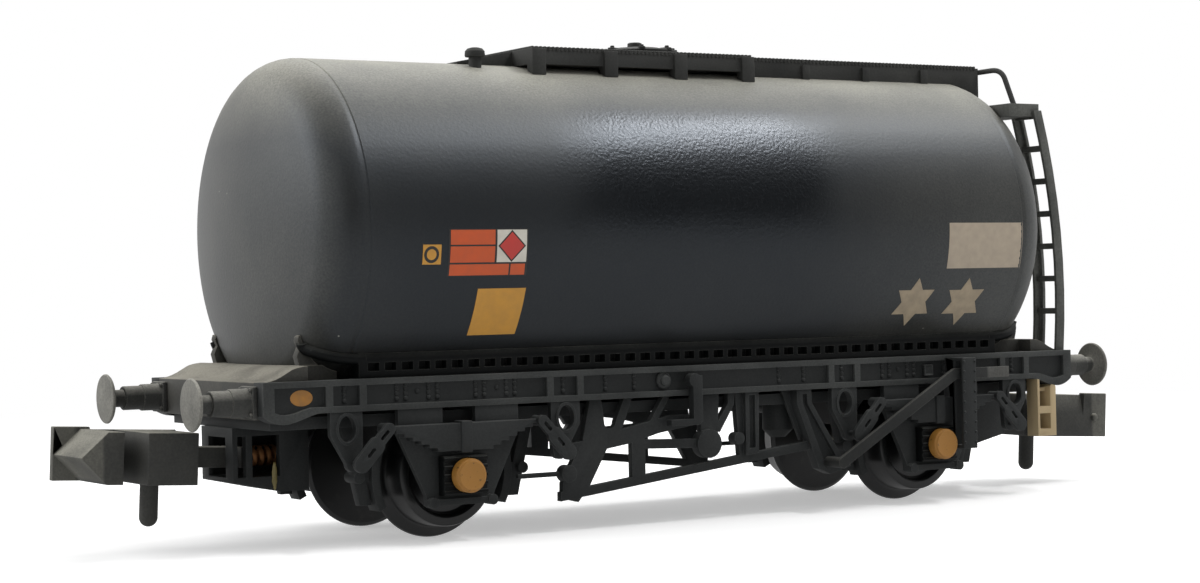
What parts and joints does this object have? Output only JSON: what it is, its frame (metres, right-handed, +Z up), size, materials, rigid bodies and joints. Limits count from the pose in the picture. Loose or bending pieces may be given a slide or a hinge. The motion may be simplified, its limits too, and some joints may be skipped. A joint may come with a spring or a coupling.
{
  "type": "scale model tank wagon",
  "caption": "Scale model of a black two-axle oil tank wagon: dished tank on a spring-hung underframe, with ladder, top walkway, brake levers and hooked couplers.",
  "frame": {"origin": "on the floor under the middle of the wagon, midway between the axles and between the wheels", "axes": "+X along the wagon towards the ladder end, +Y across it, +Z up"},
  "size_m": [0.0672, 0.0182, 0.0266],
  "materials": {
    "tank_black": "satin black moulding with pale dust along the top and ends",
    "walkway_black": "matt dark grey moulding",
    "frame_black": "matt dark grey-black moulding, dusty",
    "ochre_caps": "matt ochre paint",
    "tan_step": "matt tan moulding",
    "wheel_black": "satin black",
    "axle_steel": "plain steel",
    "spring_bronze": "dull bronze wire",
    "coupler_grey": "matt dark moulding under grey dust",
    "buffer_grey": "matt dark moulding under grey-beige dust",
    "ballast_steel": "plain steel bar"
  },
  "bodies": {
    "chassis": {"axlebox_al": "frame_black", "axlebox_ar": "frame_black", "axlebox_bl": "frame_black", "axlebox_br": "frame_black", "axlebox_caps_l": "ochre_caps", "axlebox_caps_r": "ochre_caps", "axleguard_al": "frame_black", "axleguard_ar": "frame_black", "axleguard_bl": "frame_black", "axleguard_br": "frame_black", "ballast_bar": "ballast_steel", "brake_blocks_a": "frame_black", "brake_blocks_b": "frame_black", "brake_cylinder": "frame_black", "brake_lever_l": "frame_black", "brake_lever_r": "frame_black", "brake_linkage_l": "frame_black", "brake_linkage_r": "frame_black", "buffer_al": "buffer_grey", "buffer_ar": "buffer_grey", "buffer_bl": "buffer_grey", "buffer_br": "buffer_grey", "coupler_pocket_a": "frame_black", "coupler_pocket_b": "frame_black", "coupler_spring_a": "spring_bronze", "coupler_spring_b": "spring_bronze", "floor_plate": "frame_black", "footstep": "tan_step", "handrail": "walkway_black", "headstock_a": "frame_black", "headstock_b": "frame_black", "ladder": "walkway_black", "leaf_springs_l": "frame_black", "leaf_springs_r": "frame_black", "lever_guards": "frame_black", "manhole_lid": "walkway_black", "manhole_platform": "walkway_black", "solebar_l": "frame_black", "solebar_r": "frame_black", "swing_links_l": "frame_black", "swing_links_r": "frame_black", "tank_barrel": "tank_black", "tank_cradle_l": "frame_black", "tank_cradle_r": "frame_black", "tank_end_a": "tank_black", "tank_end_b": "tank_black", "tank_saddle_a": "frame_black", "tank_saddle_b": "frame_black", "vent_cover": "walkway_black", "walkway": "walkway_black"},
    "wheelset_a": {"axle_a": "axle_steel", "wheel_al": "wheel_black", "wheel_ar": "wheel_black"},
    "wheelset_b": {"axle_b": "axle_steel", "wheel_bl": "wheel_black", "wheel_br": "wheel_black"},
    "coupler_a": {"coupler_a": "coupler_grey"},
    "coupler_b": {"coupler_b": "coupler_grey"}
  },
  "joints": [
    {"name": "wheelset_a_roll", "type": "hinge", "parent": "chassis", "child": "wheelset_a", "pos_m": [-0.01545, 0, 0.00341], "axis": [0, 1, 0], "continuous": true},
    {"name": "wheelset_b_roll", "type": "hinge", "parent": "chassis", "child": "wheelset_b", "pos_m": [0.01545, 0, 0.00341], "axis": [0, 1, 0], "continuous": true},
    {"name": "coupler_a_swing", "type": "hinge", "parent": "chassis", "child": "coupler_a", "pos_m": [-0.02455, 0, 0.00447], "axis": [0, 0, 1], "range_deg": [-10, 10], "stiffness_Nm_per_rad": 0.00025},
    {"name": "coupler_b_swing", "type": "hinge", "parent": "chassis", "child": "coupler_b", "pos_m": [0.02455, 0, 0.00447], "axis": [0, 0, 1], "range_deg": [-10, 10], "stiffness_Nm_per_rad": 0.00025}
  ]
}
